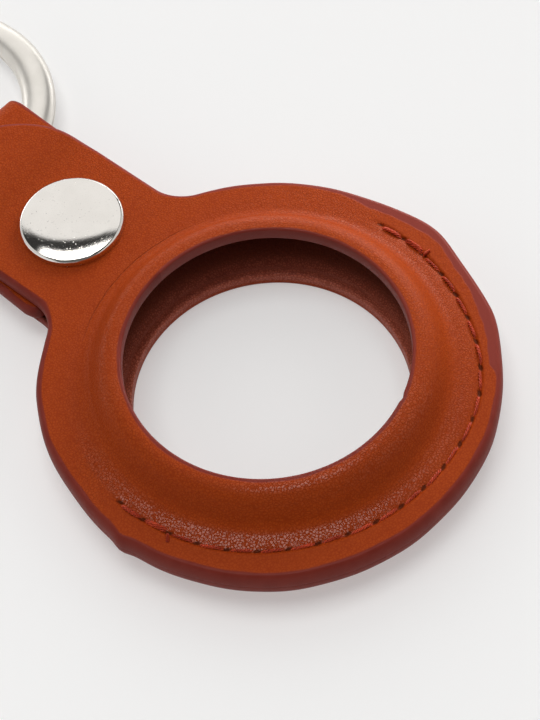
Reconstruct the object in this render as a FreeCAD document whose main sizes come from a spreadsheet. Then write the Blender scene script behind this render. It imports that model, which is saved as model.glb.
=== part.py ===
import FreeCAD, Part
import math
import os
import re
import Sketcher

# Leather holder for a round tracker tag.
# Two pressed leather panels with a window are sewn along their lower edge. The upper
# half of the front panel is a flap with a tab, held by a press stud. The strap of the
# rear panel folds round a split key ring and returns between the tab and itself.
# Frame: origin on the axis of the windows, midway between the panels; +Z out of the
# front window, +Y along the tab. Millimetres.

doc = FreeCAD.newDocument("tag_holder")
sheet = doc.addObject("Spreadsheet::Sheet", "dims")

DRIVING = (
    ("tag_diameter", 31.9, "disc that the pocket holds"),
    ("tag_clearance", 1.55, "room between disc and foot of the dome"),
    ("skin_thickness", 0.75, "outer leather of every panel"),
    ("lining_thickness", 0.75, "inner leather of every panel"),
    ("glue_gap", 0.03, "between skin and lining"),
    ("panel_gap", 0.04, "between the two panels at the seam"),
    ("ply_gap", 0.05, "between the two runs of the strap"),
    ("dome_width", 4.5, "from the window to the foot of the dome"),
    ("lip_width", 0.5, "flat lip round the window"),
    ("dome_rise", 2.9, "height that the panels are pressed to"),
    ("foot_bend", 1.0, "hollow bend at the foot of the dome, on the grain side"),
    ("rim_width", 3.4, "flat rim outside the dome"),
    ("tab_width", 16.5, "tab and strap"),
    ("neck_bend", 4.0, "fillet between rim and tab"),
    ("tab_reach", 0.23, "end of the front tab past the centre of the fold"),
    ("rise_lead", 0.6, "the tab starts to rise this far before the loop opens"),
    ("rise_run", 4.6, "length over which the tab rises on to the loop"),
    ("rise_foot_bend", 2.0, "hollow bend of the rise, on the grain side"),
    ("loop_clearance", 0.08, "between tab end and top of the loop"),
    ("joggle_margin", 0.3, "flat rim before the strap steps down"),
    ("joggle_run", 3.2, "length of the step"),
    ("joggle_bend", 2.2, "first bend of the step, on the lining side"),
    ("return_margin", 0.25, "returned strap end stops this far from the step"),
    ("loop_lift", 1.03, "the upper run of the loop rises by this"),
    ("loop_lead", 0.5, "from the bending line to where the two runs part"),
    ("loop_run", 4.5, "length over which the two runs part"),
    ("loop_entry_bend", 5.0, "bend where the runs part, on the lining side"),
    ("hinge_distance", 2.5, "bending line of the flap from the window axis"),
    ("bend_margin", 0.2, "bending line of the loop from the edge of the cap"),
    ("bend_slit", 0.1, "gap that divides a leather layer on its bending line"),
    ("seam_inset", 0.9, "seam outside the foot of the dome"),
    ("sewn_angle", 194.0, "part of the rim that is sewn, in degrees"),
    ("stitch_pitch", 2.7, "needle hole to needle hole"),
    ("stitch_length", 2.2, "thread seen between two needle holes"),
    ("thread_diameter", 0.5, "sewing thread"),
    ("thread_lift", 0.01, "thread over leather"),
    ("snap_margin", 0.15, "leather between the returned strap end and the recess of the stud"),
    ("seat_gap", 0.01, "metal on leather"),
    ("cap_diameter", 10.0, "visible cap"),
    ("cap_height", 1.35, "cap over the leather"),
    ("cap_side", 0.75, "straight side of the cap"),
    ("cap_wall", 0.35, "sheet metal of the cap"),
    ("cap_edge", 0.35, "rounding of the cap's shoulder"),
    ("post_radius", 1.1, "tubular rivets"),
    ("post_bore", 0.75, "bore radius of the rivets"),
    ("post_clearance", 0.06, "leather and metal round the rivets"),
    ("post_flare", 0.4, "rolled end of a rivet, beyond its tube"),
    ("flare_height", 0.2, "thickness of the rolled end"),
    ("flange_radius", 3.6, "rivet heads"),
    ("flange_height", 0.3, "thickness of the rivet heads"),
    ("socket_radius", 3.3, "outside of the socket"),
    ("socket_plate", 0.25, "plate of the socket under the flap"),
    ("socket_wall", 0.75, "wall of the socket"),
    ("socket_gap", 0.05, "socket over the base of the stud"),
    ("socket_lip", 0.1, "lip that keeps the spring in"),
    ("mouth_radius", 1.93, "mouth of the socket"),
    ("recess_clearance", 0.2, "leather round socket and stud base"),
    ("stud_base", 0.25, "sheet metal of the stud"),
    ("stud_neck", 1.5, "neck of the stud"),
    ("stud_bulge", 1.75, "widest part of the stud's head"),
    ("stud_gap", 0.08, "head of the stud under the rolled rivet end"),
    ("bulge_depth", 0.1, "widest part under the top of the head"),
    ("bulge_step", 0.08, "slope under the widest part"),
    ("spring_wire", 0.42, "wire of the spring"),
    ("spring_clearance", 0.06, "spring round the neck of the stud"),
    ("spring_angle", 318.0, "the spring is an open ring, in degrees"),
    ("ring_diameter", 31.0, "key ring, outside"),
    ("wire_width", 2.8, "oval key ring wire, across the ring"),
    ("wire_thickness", 1.0, "oval key ring wire, along the ring's axis"),
    ("coil_gap", 0.06, "between the two coils"),
    ("crossover_angle", 64.0, "the wire changes coil over this angle, in degrees"),
    ("end_gap_angle", 2.0, "from the crossing wire to each wire end, in degrees"),
    ("ring_clearance", 0.5, "key ring inside the fold"),
    ("eye_clearance", 0.17, "leather over and under the key ring"),
    ("eye_taper", 0.4, "the key ring reaches this far to where the runs part"),
    ("floor_gap", 0.05, "far side of the key ring over the ground"),
    ("trim_margin", 2.0, "cutting shapes reach past the leather by this"),
)

DERIVED = (
    ("panel_thickness", "skin_thickness + glue_gap + lining_thickness"),
    ("lining_depth", "skin_thickness + glue_gap"),
    ("front_top", "panel_gap / 2 + panel_thickness"),
    ("dome_foot", "tag_diameter / 2 + tag_clearance"),
    ("rim_radius", "dome_foot + rim_width"),
    ("hole_radius", "dome_foot - dome_width"),
    ("lip_radius", "hole_radius + lip_width"),
    ("dome_run", "dome_foot - lip_radius"),
    ("dome_square", "dome_run ^ 2 + dome_rise ^ 2"),
    ("crown_bend", "dome_square / (2 * dome_rise) - foot_bend"),
    ("dome_sine", "2 * dome_run * dome_rise / dome_square"),
    ("dome_cosine", "(dome_run ^ 2 - dome_rise ^ 2) / dome_square"),
    ("crown_centre", "front_top + dome_rise - crown_bend"),
    ("foot_centre", "front_top + foot_bend"),
    ("base_level", "-(front_top + dome_rise)"),
    ("tab_half", "tab_width / 2"),
    ("neck_side", "tab_half + neck_bend"),
    ("neck_centre", "sqrt((rim_radius + neck_bend) ^ 2 - neck_side ^ 2)"),
    ("neck_ring_x", "neck_side * rim_radius / (rim_radius + neck_bend)"),
    ("neck_ring_y", "neck_centre * rim_radius / (rim_radius + neck_bend)"),
    ("seam_level", "-panel_gap / 2"),
    ("return_level", "seam_level - panel_thickness"),
    ("strap_level", "return_level - ply_gap"),
    ("joggle_start", "dome_foot + joggle_margin"),
    ("joggle_end", "joggle_start + joggle_run"),
    ("joggle_drop", "panel_thickness + ply_gap"),
    ("joggle_square", "joggle_run ^ 2 + joggle_drop ^ 2"),
    ("joggle_second", "joggle_square / (2 * joggle_drop) - joggle_bend"),
    ("joggle_sine", "2 * joggle_run * joggle_drop / joggle_square"),
    ("joggle_cosine", "(joggle_run ^ 2 - joggle_drop ^ 2) / joggle_square"),
    ("return_end", "joggle_end + return_margin"),
    ("recess_radius", "socket_radius + recess_clearance"),
    ("snap_distance", "return_end + recess_radius + snap_margin"),
    ("cap_radius", "cap_diameter / 2"),
    ("ring_outside", "ring_diameter / 2"),
    ("ring_inside", "ring_outside - wire_width"),
    ("ring_reach", "sqrt(ring_inside ^ 2 - tab_half ^ 2)"),
    ("ring_span", "ring_outside - ring_reach"),
    ("ring_height", "2 * wire_thickness + coil_gap"),
    ("eye_half", "ring_height / 2 + eye_clearance"),
    ("eye_top", "return_level + loop_lift"),
    ("eye_level", "eye_top - eye_half"),
    ("eye_bottom", "eye_level - eye_half"),
    ("loop_radius", "eye_half + panel_thickness"),
    ("loop_hinge_distance", "snap_distance + cap_radius + bend_margin"),
    ("loop_entry", "loop_hinge_distance + loop_lead"),
    ("eye_start", "loop_entry + loop_run"),
    ("fold_y", "eye_start + ring_span + ring_clearance - eye_half - eye_taper"),
    ("loop_crest", "fold_y + loop_radius"),
    ("tab_tip", "fold_y + tab_reach"),
    ("tip_centre", "tab_tip - tab_half"),
    ("dip_drop", "strap_level - eye_bottom"),
    ("dip_square", "loop_run ^ 2 + dip_drop ^ 2"),
    ("dip_second", "dip_square / (2 * dip_drop) - loop_entry_bend"),
    ("dip_sine", "2 * loop_run * dip_drop / dip_square"),
    ("dip_cosine", "(loop_run ^ 2 - dip_drop ^ 2) / dip_square"),
    ("lift_drop", "eye_top - return_level"),
    ("lift_square", "loop_run ^ 2 + lift_drop ^ 2"),
    ("lift_second", "lift_square / (2 * lift_drop) - loop_entry_bend"),
    ("lift_sine", "2 * loop_run * lift_drop / lift_square"),
    ("lift_cosine", "(loop_run ^ 2 - lift_drop ^ 2) / lift_square"),
    ("tab_rise", "eye_level + loop_radius + loop_clearance - panel_gap / 2"),
    ("rise_start", "loop_entry - rise_lead"),
    ("rise_end", "rise_start + rise_run"),
    ("rise_square", "rise_run ^ 2 + tab_rise ^ 2"),
    ("rise_crown_bend", "rise_square / (2 * tab_rise) - rise_foot_bend"),
    ("rise_sine", "2 * rise_run * tab_rise / rise_square"),
    ("rise_cosine", "(rise_run ^ 2 - tab_rise ^ 2) / rise_square"),
    ("rise_top", "front_top + tab_rise"),
    ("seam_radius", "dome_foot + seam_inset"),
    ("post_hole", "post_radius + post_clearance"),
    ("flare_radius", "post_radius + post_flare"),
    ("cap_inside", "cap_radius - cap_wall"),
    ("cap_seat", "front_top + seat_gap"),
    ("cap_top", "cap_seat + cap_height"),
    ("cap_sagitta", "cap_height - cap_side"),
    ("cap_bend", "(cap_radius ^ 2 + cap_sagitta ^ 2) / (2 * cap_sagitta)"),
    ("cap_centre", "cap_top - cap_bend"),
    ("cap_inside_bend", "cap_bend - cap_wall"),
    ("cap_inside_side", "cap_centre + sqrt(cap_inside_bend ^ 2 - cap_inside ^ 2)"),
    ("socket_top", "front_top - skin_thickness - seat_gap"),
    ("socket_under", "socket_top - socket_plate"),
    ("socket_inside", "socket_radius - socket_wall"),
    ("flare_bottom", "socket_under - seat_gap - flare_height"),
    ("stud_bottom", "seam_level - lining_depth + seat_gap"),
    ("stud_shoulder", "stud_bottom + stud_base"),
    ("socket_bottom", "stud_shoulder + socket_gap"),
    ("stud_top", "flare_bottom - stud_gap"),
    ("stud_hollow", "stud_neck - stud_base"),
    ("bulge_level", "stud_top - bulge_depth"),
    ("post_seat", "strap_level - panel_thickness - seat_gap"),
    ("post_bottom", "post_seat - flange_height"),
    ("post_top", "stud_top - stud_base - seat_gap"),
    ("spring_radius", "stud_neck + spring_clearance + spring_wire / 2"),
    ("spring_level", "socket_bottom + socket_lip + spring_wire / 2 + seat_gap"),
    ("ring_offset", "(ring_outside + ring_reach) / 2"),
    ("ring_pivot", "fold_y + eye_half - ring_clearance - ring_span / 2"),
    ("ring_far", "ring_offset + ring_outside"),
    ("ring_drop", "eye_level - ring_height / 2 - base_level - floor_gap"),
)


def fill_sheet():
    """Write every driving number and every derived formula with its alias."""
    row = 1
    for alias, number, note in DRIVING:
        sheet.set("A%d" % row, alias)
        sheet.set("B%d" % row, str(number))
        sheet.set("C%d" % row, note)
        sheet.setAlias("B%d" % row, alias)
        row += 1
    for alias, formula in DERIVED:
        sheet.set("A%d" % row, alias)
        sheet.set("B%d" % row, "=" + formula)
        sheet.setAlias("B%d" % row, alias)
        row += 1
    doc.recompute()


def size(formula):
    """The number that a formula of sheet names works out to, through a working cell."""
    sheet.set("E1", "=" + formula)
    sheet.recompute()
    return float(sheet.get("E1"))


def bound(formula):
    """The same formula as an expression of other objects, with the sheet's name before each alias."""
    return re.sub(r"[a-z][a-z_]*\b(?!\()", lambda found: "dims." + found.group(0), formula)


def new_body(label):
    body = doc.addObject("PartDesign::Body", label)
    body.Label = label
    return body


def lock(sketch, geometry, end, axis, formula):
    """Tie one coordinate of a point to a formula, or to an axis where it is zero."""
    if formula == "0":
        sketch.addConstraint(Sketcher.Constraint("PointOnObject", geometry, end, -2 if axis == "X" else -1))
        return
    place = Sketcher.Constraint("Distance" + axis, -1, 1, geometry, end, size(formula))
    sketch.setExpression("Constraints[%d]" % sketch.addConstraint(place), bound(formula))


def draw_loop(sketch, corners):
    """Draw a closed outline. Each corner holds x, y and the edge to the next corner:
    None for a line, or the radius and centre of an arc shorter than a half circle."""
    count = len(corners)
    ends = []
    points = [FreeCAD.Vector(size(x), size(y), 0) for x, y, edge in corners]
    for index, (x, y, edge) in enumerate(corners):
        start = points[index]
        finish = points[(index + 1) % count]
        if edge is None:
            geometry = sketch.addGeometry(Part.LineSegment(start, finish), False)
            ends.append((geometry, 1, 2))
            continue
        radius, centre_x, centre_y = edge
        centre = FreeCAD.Vector(size(centre_x), size(centre_y), 0)
        circle = Part.Circle(centre, FreeCAD.Vector(0, 0, 1), size(radius))
        first = math.atan2(start.y - centre.y, start.x - centre.x)
        last = math.atan2(finish.y - centre.y, finish.x - centre.x)
        turns_left = (start - centre).cross(finish - centre).z > 0
        span = (first, last) if turns_left else (last, first)
        geometry = sketch.addGeometry(Part.ArcOfCircle(circle, *span), False)
        ends.append((geometry, 1, 2) if turns_left else (geometry, 2, 1))
    for index, (geometry, start_end, finish_end) in enumerate(ends):
        following, following_start, following_finish = ends[(index + 1) % count]
        sketch.addConstraint(Sketcher.Constraint("Coincident", geometry, finish_end, following, following_start))
    for (x, y, edge), (geometry, start_end, finish_end) in zip(corners, ends):
        lock(sketch, geometry, start_end, "X", x)
        lock(sketch, geometry, start_end, "Y", y)
        if edge is not None:
            radius = Sketcher.Constraint("Radius", geometry, size(edge[0]))
            sketch.setExpression("Constraints[%d]" % sketch.addConstraint(radius), bound(edge[0]))


def draw_circle(sketch, x, y, radius):
    circle = Part.Circle(FreeCAD.Vector(size(x), size(y), 0), FreeCAD.Vector(0, 0, 1), size(radius))
    geometry = sketch.addGeometry(circle, False)
    if (x, y) == ("0", "0"):
        sketch.addConstraint(Sketcher.Constraint("Coincident", geometry, 3, -1, 1))
    else:
        lock(sketch, geometry, 3, "X", x)
        lock(sketch, geometry, 3, "Y", y)
    constraint = Sketcher.Constraint("Radius", geometry, size(radius))
    sketch.setExpression("Constraints[%d]" % sketch.addConstraint(constraint), bound(radius))


def new_sketch(body, name, role, level="0"):
    """A sketch on one of the body's own origin planes, lifted off it by level."""
    planes = {plane.Role: plane for plane in body.Origin.OriginFeatures}
    sketch = body.newObject("Sketcher::SketchObject", name)
    sketch.AttachmentSupport = (planes[role], [""])
    sketch.MapMode = "FlatFace"
    if level != "0":
        sketch.setExpression("AttachmentOffset.Base.z", bound(level))
    return sketch


def rectangle(left, right, low, high):
    return [(left, low, None), (right, low, None), (right, high, None), (left, high, None)]


def pad(body, name, sketch, length, both_ways=False):
    feature = body.newObject("PartDesign::Pad", name)
    feature.Profile = sketch
    feature.SideType = "Symmetric" if both_ways else "One side"
    feature.setExpression("Length", bound(length))
    return feature


def pocket(body, name, sketch, length, both_ways=False):
    """Cut downwards from the sketch, or evenly to both sides of it."""
    feature = body.newObject("PartDesign::Pocket", name)
    feature.Profile = sketch
    feature.SideType = "Symmetric" if both_ways else "One side"
    feature.setExpression("Length", bound(length))
    return feature


def revolve(body, name, sketch, angle="360"):
    """Turn a profile of radius and height about the vertical axis of its sketch."""
    feature = body.newObject("PartDesign::Revolution", name)
    feature.Profile = sketch
    feature.ReferenceAxis = (sketch, ["V_Axis"])
    feature.setExpression("Angle", bound(angle))
    return feature


def turned_piece(label, corners):
    """A turned or pressed metal piece on the axis of the press stud."""
    body = new_body(label)
    sketch = new_sketch(body, label + "_profile", "XZ_Plane")
    draw_loop(sketch, corners)
    revolve(body, label + "_turn", sketch)
    body.setExpression("Placement.Base.y", "dims.snap_distance")
    return body


def round_shoulder(body):
    """Round the circle where the cap's crown meets its side."""
    doc.recompute()
    crown = body.Tip
    level = size("cap_seat + cap_side")
    radius = size("cap_radius")
    names = []
    for number, edge in enumerate(crown.Shape.Edges, 1):
        box = edge.BoundBox
        if abs(box.ZMin - level) < 1e-4 and abs(box.ZMax - level) < 1e-4 and abs(box.XMax - radius) < 1e-3:
            names.append("Edge%d" % number)
    fillet = body.newObject("PartDesign::Fillet", "snap_cap_shoulder")
    fillet.Base = (crown, names)
    fillet.setExpression("Radius", "dims.cap_edge")


def rim_outline(end_corners):
    """Plan of a panel: round rim, filleted necks, tab sides, and the given end of the tab."""
    rim = ("rim_radius", "0", "0")
    return end_corners + [
        ("-tab_half", "neck_centre", ("neck_bend", "-neck_side", "neck_centre")),
        ("-neck_ring_x", "neck_ring_y", rim),
        ("-rim_radius", "0", rim),
        ("0", "-rim_radius", rim),
        ("rim_radius", "0", rim),
        ("neck_ring_x", "neck_ring_y", ("neck_bend", "neck_side", "neck_centre")),
        ("tab_half", "neck_centre", None),
    ]


def dome_profile(side, near, far):
    """Section of the pressed dome between two depths under the grain, from lip to foot.
    The front dome has side 1, the rear dome -1."""
    def level(formula):
        return "%d * (%s)" % (side, formula)

    def crown(depth):
        return ("crown_bend - (%s)" % depth, "lip_radius", level("crown_centre"))

    def foot(depth):
        return ("foot_bend + (%s)" % depth, "dome_foot", level("foot_centre"))

    def turn(depth, edge):
        radius = "lip_radius + (crown_bend - (%s)) * dome_sine" % depth
        height = level("crown_centre + (crown_bend - (%s)) * dome_cosine" % depth)
        return (radius, height, edge)

    crown_height = "front_top + dome_rise - (%s)"
    foot_height = "front_top - (%s)"
    return [
        ("hole_radius", level(crown_height % near), None),
        ("lip_radius", level(crown_height % near), crown(near)),
        turn(near, foot(near)),
        ("dome_foot", level(foot_height % near), None),
        ("dome_foot", level(foot_height % far), foot(far)),
        turn(far, crown(far)),
        ("lip_radius", level(crown_height % far), None),
        ("hole_radius", level(crown_height % far), None),
    ]


def tab_end_profile(near, far):
    """Section of the front tab's end between two depths: it rises on to the loop and runs out flat."""
    def rise(depth, reverse):
        foot = ("rise_foot_bend + (%s)" % depth, "rise_start", "front_top + rise_foot_bend")
        crown = ("rise_crown_bend - (%s)" % depth, "rise_end", "rise_top - rise_crown_bend")
        start = ["rise_start", "front_top - (%s)" % depth]
        turn = [
            "rise_start + (rise_foot_bend + (%s)) * rise_sine" % depth,
            "front_top + rise_foot_bend - (rise_foot_bend + (%s)) * rise_cosine" % depth,
        ]
        finish = ["rise_end", "rise_top - (%s)" % depth]
        tip = ["tab_tip + trim_margin", "rise_top - (%s)" % depth]
        if reverse:
            return [(*tip, None), (*finish, crown), (*turn, foot), (*start, None)]
        return [(*start, foot), (*turn, crown), (*finish, None), (*tip, None)]

    return rise(near, False) + rise(far, True)


def strap_profile(near, far):
    """Section of the rear strap between two depths: step down, run, fold round the ring, return.
    Heights are counted from the lining face, which lies inside the fold."""
    def run(depth, reverse):
        out = "(panel_thickness - (%s))" % depth
        step_one = ("joggle_bend - %s" % out, "joggle_start", "seam_level - joggle_bend")
        step_two = ("joggle_second + %s" % out, "joggle_end", "strap_level + joggle_second")
        dip_one = ("loop_entry_bend - %s" % out, "loop_entry", "strap_level - loop_entry_bend")
        dip_two = ("dip_second + %s" % out, "eye_start", "eye_bottom + dip_second")
        fold = ("eye_half + %s" % out, "fold_y", "eye_level")
        lift_two = ("lift_second + %s" % out, "eye_start", "eye_top - lift_second")
        lift_one = ("loop_entry_bend - %s" % out, "loop_entry", "return_level + loop_entry_bend")
        step_turn = (
            "joggle_start + (joggle_bend - %s) * joggle_sine" % out,
            "seam_level - joggle_bend + (joggle_bend - %s) * joggle_cosine" % out,
        )
        dip_turn = (
            "loop_entry + (loop_entry_bend - %s) * dip_sine" % out,
            "strap_level - loop_entry_bend + (loop_entry_bend - %s) * dip_cosine" % out,
        )
        lift_turn = (
            "loop_entry + (loop_entry_bend - %s) * lift_sine" % out,
            "return_level + loop_entry_bend - (loop_entry_bend - %s) * lift_cosine" % out,
        )
        places = [
            ("joggle_start", "seam_level - %s" % out),
            step_turn,
            ("joggle_end", "strap_level - %s" % out),
            ("loop_entry", "strap_level - %s" % out),
            dip_turn,
            ("eye_start", "eye_bottom - %s" % out),
            ("fold_y", "eye_bottom - %s" % out),
            ("fold_y + eye_half + %s" % out, "eye_level"),
            ("fold_y", "eye_top + %s" % out),
            ("eye_start", "eye_top + %s" % out),
            lift_turn,
            ("loop_entry", "return_level + %s" % out),
            ("return_end", "return_level + %s" % out),
        ]
        edges = [step_one, step_two, None, dip_one, dip_two, None, fold, fold, None, lift_two, lift_one, None]
        if reverse:
            places.reverse()
            edges.reverse()
        edges.append(None)
        return [(*place, edge) for place, edge in zip(places, edges)]

    return run(far, False) + run(near, True)


def leather_layer(label, side, near, far):
    """One leather layer of a panel between two depths under its grain face:
    flat sheet, pressed dome and shaped tab or strap, then cut to the outline."""
    body = new_body(label)
    reach = "rim_radius + trim_margin"
    sheet_end = "rise_start" if side > 0 else "joggle_start"
    lower_face = "front_top - (%s)" % far if side > 0 else "-(front_top - (%s))" % near
    flat = new_sketch(body, label + "_flat", "XY_Plane", lower_face)
    draw_loop(flat, rectangle("-(%s)" % reach, reach, "-(%s)" % reach, sheet_end))
    draw_circle(flat, "0", "0", "dome_foot")
    pad(body, label + "_sheet", flat, "(%s) - (%s)" % (far, near))

    dome = new_sketch(body, label + "_dome", "XZ_Plane")
    draw_loop(dome, dome_profile(side, near, far))
    revolve(body, label + "_press", dome)

    band = new_sketch(body, label + "_band", "YZ_Plane")
    draw_loop(band, tab_end_profile(near, far) if side > 0 else strap_profile(near, far))
    pad(body, label + "_strip", band, "2 * (rim_radius + trim_margin)", both_ways=True)

    if side > 0:
        tip = ("tab_half", "0", "tip_centre")
        end_corners = [("tab_half", "tip_centre", tip), ("0", "tab_tip", tip), ("-tab_half", "tip_centre", None)]
        far_edge = "tab_tip + 2 * trim_margin"
    else:
        end = "loop_crest + trim_margin"
        end_corners = [("tab_half", end, None), ("-tab_half", end, None)]
        far_edge = "loop_crest + 2 * trim_margin"
    outline = new_sketch(body, label + "_outline", "XY_Plane")
    cut_reach = "rim_radius + 2 * trim_margin"
    draw_loop(outline, rectangle("-(%s)" % cut_reach, cut_reach, "-(%s)" % cut_reach, far_edge))
    draw_loop(outline, rim_outline(end_corners))
    pocket(body, label + "_trim", outline, "4 * (dome_rise + panel_thickness + eye_half)", both_ways=True)
    return body


def round_cut(body, name, radius, level, depth):
    """A round cut on the axis of the press stud, downwards from level."""
    sketch = new_sketch(body, name + "_circle", "XY_Plane", level)
    draw_circle(sketch, "0", "snap_distance", radius)
    return pocket(body, name, sketch, depth)


def divide(label, layer, low, high, under="-2 * (dome_rise + panel_thickness)", keep=True):
    """The part of a leather layer between two distances along the tab, above the level under.
    With keep False, the layer without that part."""
    block = doc.addObject("Part::Box", label + "_block")
    block.setExpression("Length", bound("2 * (rim_radius + trim_margin)"))
    block.setExpression("Width", bound("(%s) - (%s)" % (high, low)))
    block.setExpression("Height", bound("4 * (dome_rise + panel_thickness)"))
    block.setExpression("Placement.Base.x", bound("-(rim_radius + trim_margin)"))
    block.setExpression("Placement.Base.y", bound(low))
    block.setExpression("Placement.Base.z", bound(under))
    piece = doc.addObject("Part::Common" if keep else "Part::Cut", label)
    piece.Label = label
    piece.Base = layer
    piece.Tool = block
    return piece


def sew(label, level):
    """One side of the lockstitch seam: a short thread between each two needle holes."""
    radius = size("seam_radius")
    length = size("stitch_length")
    sewn = math.radians(size("sewn_angle"))
    count = round(radius * sewn / size("stitch_pitch"))
    stitches = []
    for index in range(count):
        angle = sewn * ((index + 0.5) / count - 0.5)
        along = FreeCAD.Vector(math.cos(angle), math.sin(angle), 0)
        middle = FreeCAD.Vector(radius * math.sin(angle), -radius * math.cos(angle), size(level))
        stitch = doc.addObject("Part::Cylinder", "%s_%d" % (label, index))
        stitch.setExpression("Radius", bound("thread_diameter / 2"))
        stitch.setExpression("Height", bound("stitch_length"))
        turn = FreeCAD.Rotation(FreeCAD.Vector(0, 0, 1), along)
        stitch.Placement = FreeCAD.Placement(middle - along * (length / 2), turn)
        stitches.append(stitch)
    seam = doc.addObject("Part::Compound", label)
    seam.Label = label
    seam.Links = stitches
    return seam


def wire_section(angle, level):
    """Oval section of the key ring wire at an angle round the ring."""
    radial = FreeCAD.Vector(math.cos(angle), math.sin(angle), 0)
    upright = FreeCAD.Vector(0, 0, 1)
    oval = Part.Ellipse(FreeCAD.Vector(0, 0, 0), size("wire_width / 2"), size("wire_thickness / 2")).toShape()
    turn = FreeCAD.Rotation(radial, upright, radial.cross(upright), "XYZ")
    oval.Placement = FreeCAD.Placement(radial * size("ring_outside - wire_width / 2") + upright * level, turn)
    return Part.Wire([oval])


def make_key_ring():
    """Split ring: a lower and an upper coil, and the stretch where the wire climbs from one
    to the other between the two wire ends. It lies tilted, its far side just off the ground."""
    pitch = size("wire_thickness + coil_gap")
    cross = math.radians(size("crossover_angle"))
    end_gap = math.radians(size("end_gap_angle"))
    mean = size("ring_outside - wire_width / 2")
    axis = FreeCAD.Vector(0, 0, 1)
    origin = FreeCAD.Vector(0, 0, 0)
    half = pitch / 2
    whole = 2 * math.pi
    lower = Part.Face(wire_section(cross / 2 + end_gap, -half))
    lower = lower.revolve(origin, axis, math.degrees(whole - cross - end_gap))
    upper = Part.Face(wire_section(cross / 2, half))
    upper = upper.revolve(origin, axis, math.degrees(whole - cross - end_gap))
    climb = Part.makeHelix(pitch * whole / cross, pitch, mean)
    climb.rotate(origin, axis, -math.degrees(cross / 2))
    climb.translate(FreeCAD.Vector(0, 0, -half))
    pipe = Part.BRepOffsetAPI.MakePipeShell(Part.Wire(climb.Edges))
    pipe.setBiNormalMode(axis)
    pipe.add(wire_section(-cross / 2, -half))
    pipe.build()
    pipe.makeSolid()
    shape = lower.fuse([upper, pipe.shape()]).removeSplitter()

    tilt = math.asin(size("ring_drop") / size("ring_far"))
    centre = FreeCAD.Vector(0, size("ring_offset"), 0)
    quarter = FreeCAD.Rotation(axis, 90)
    swing = FreeCAD.Vector(0, size("ring_pivot"), size("eye_level"))
    lay = FreeCAD.Rotation(FreeCAD.Vector(1, 0, 0), -math.degrees(tilt))
    ring = doc.addObject("Part::Feature", "key_ring")
    ring.Label = "key_ring"
    ring.Shape = shape.Solids[0] if len(shape.Solids) == 1 else shape
    ring.Placement = FreeCAD.Placement(swing + lay.multVec(centre), lay.multiply(quarter))
    return ring


def make_spring():
    """Open ring of round wire that grips the neck of the stud."""
    body = new_body("snap_spring")
    sketch = new_sketch(body, "snap_spring_wire", "XZ_Plane")
    draw_circle(sketch, "spring_radius", "spring_level", "spring_wire / 2")
    revolve(body, "snap_spring_turn", sketch, "spring_angle")
    body.setExpression("Placement.Base.y", "dims.snap_distance")
    return body


fill_sheet()

# Front leather: skin and lining, each divided on the bending line of the flap.
front_skin = leather_layer("front_skin", 1, "0", "skin_thickness")
round_cut(front_skin, "front_skin_hole", "post_hole", "rise_top", "2 * rise_top")
front_lining = leather_layer("front_lining", 1, "lining_depth", "panel_thickness")
round_cut(front_lining, "front_lining_recess", "recess_radius", "rise_top", "2 * rise_top")

# Rear leather: skin and lining with the strap that folds round the key ring,
# each divided on the bending line of the loop.
rear_skin = leather_layer("rear_skin", -1, "0", "skin_thickness")
round_cut(rear_skin, "rear_skin_recess", "recess_radius", "seam_level + glue_gap", "lining_depth + glue_gap / 2")
round_cut(rear_skin, "rear_skin_hole", "post_hole", "0", "-2 * strap_level")
rear_lining = leather_layer("rear_lining", -1, "lining_depth", "panel_thickness")
round_cut(rear_lining, "rear_lining_hole", "post_hole", "0", "-2 * strap_level")

# Press stud on the flap: cap, rivet, socket and spring.
dome_outside = ("cap_bend", "0", "cap_centre")
dome_inside = ("cap_inside_bend", "0", "cap_centre")
snap_cap = turned_piece("snap_cap", [
    ("cap_inside", "cap_seat", None),
    ("cap_radius", "cap_seat", None),
    ("cap_radius", "cap_seat + cap_side", dome_outside),
    ("0", "cap_top", None),
    ("0", "cap_top - cap_wall", dome_inside),
    ("cap_inside", "cap_inside_side", None),
])
round_shoulder(snap_cap)
snap_cap_post = turned_piece("snap_cap_post", [
    ("post_bore", "cap_seat + flange_height", None),
    ("post_bore", "flare_bottom", None),
    ("flare_radius", "flare_bottom", None),
    ("flare_radius", "flare_bottom + flare_height", None),
    ("post_radius", "flare_bottom + flare_height", None),
    ("post_radius", "cap_seat", None),
    ("flange_radius", "cap_seat", None),
    ("flange_radius", "cap_seat + flange_height", None),
])
snap_socket = turned_piece("snap_socket", [
    ("post_hole", "socket_top", None),
    ("post_hole", "socket_under", None),
    ("socket_inside", "socket_under", None),
    ("socket_inside", "socket_bottom + socket_lip", None),
    ("mouth_radius", "socket_bottom + socket_lip", None),
    ("mouth_radius", "socket_bottom", None),
    ("socket_radius", "socket_bottom", None),
    ("socket_radius", "socket_top", None),
])
snap_spring = make_spring()

# Press stud on the strap: stud and rear rivet.
snap_stud = turned_piece("snap_stud", [
    ("post_hole", "stud_bottom", None),
    ("socket_radius", "stud_bottom", None),
    ("socket_radius", "stud_shoulder", None),
    ("stud_neck", "stud_shoulder", None),
    ("stud_neck", "bulge_level - bulge_step", None),
    ("stud_bulge", "bulge_level", None),
    ("stud_neck", "stud_top", None),
    ("0", "stud_top", None),
    ("0", "stud_top - stud_base", None),
    ("stud_hollow", "stud_top - stud_base", None),
    ("stud_hollow", "stud_shoulder", None),
    ("post_hole", "stud_shoulder", None),
])
snap_post = turned_piece("snap_post", [
    ("post_bore", "post_bottom", None),
    ("post_bore", "post_top", None),
    ("post_radius", "post_top", None),
    ("post_radius", "post_seat", None),
    ("flange_radius", "post_seat", None),
    ("flange_radius", "post_bottom", None),
])

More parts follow.
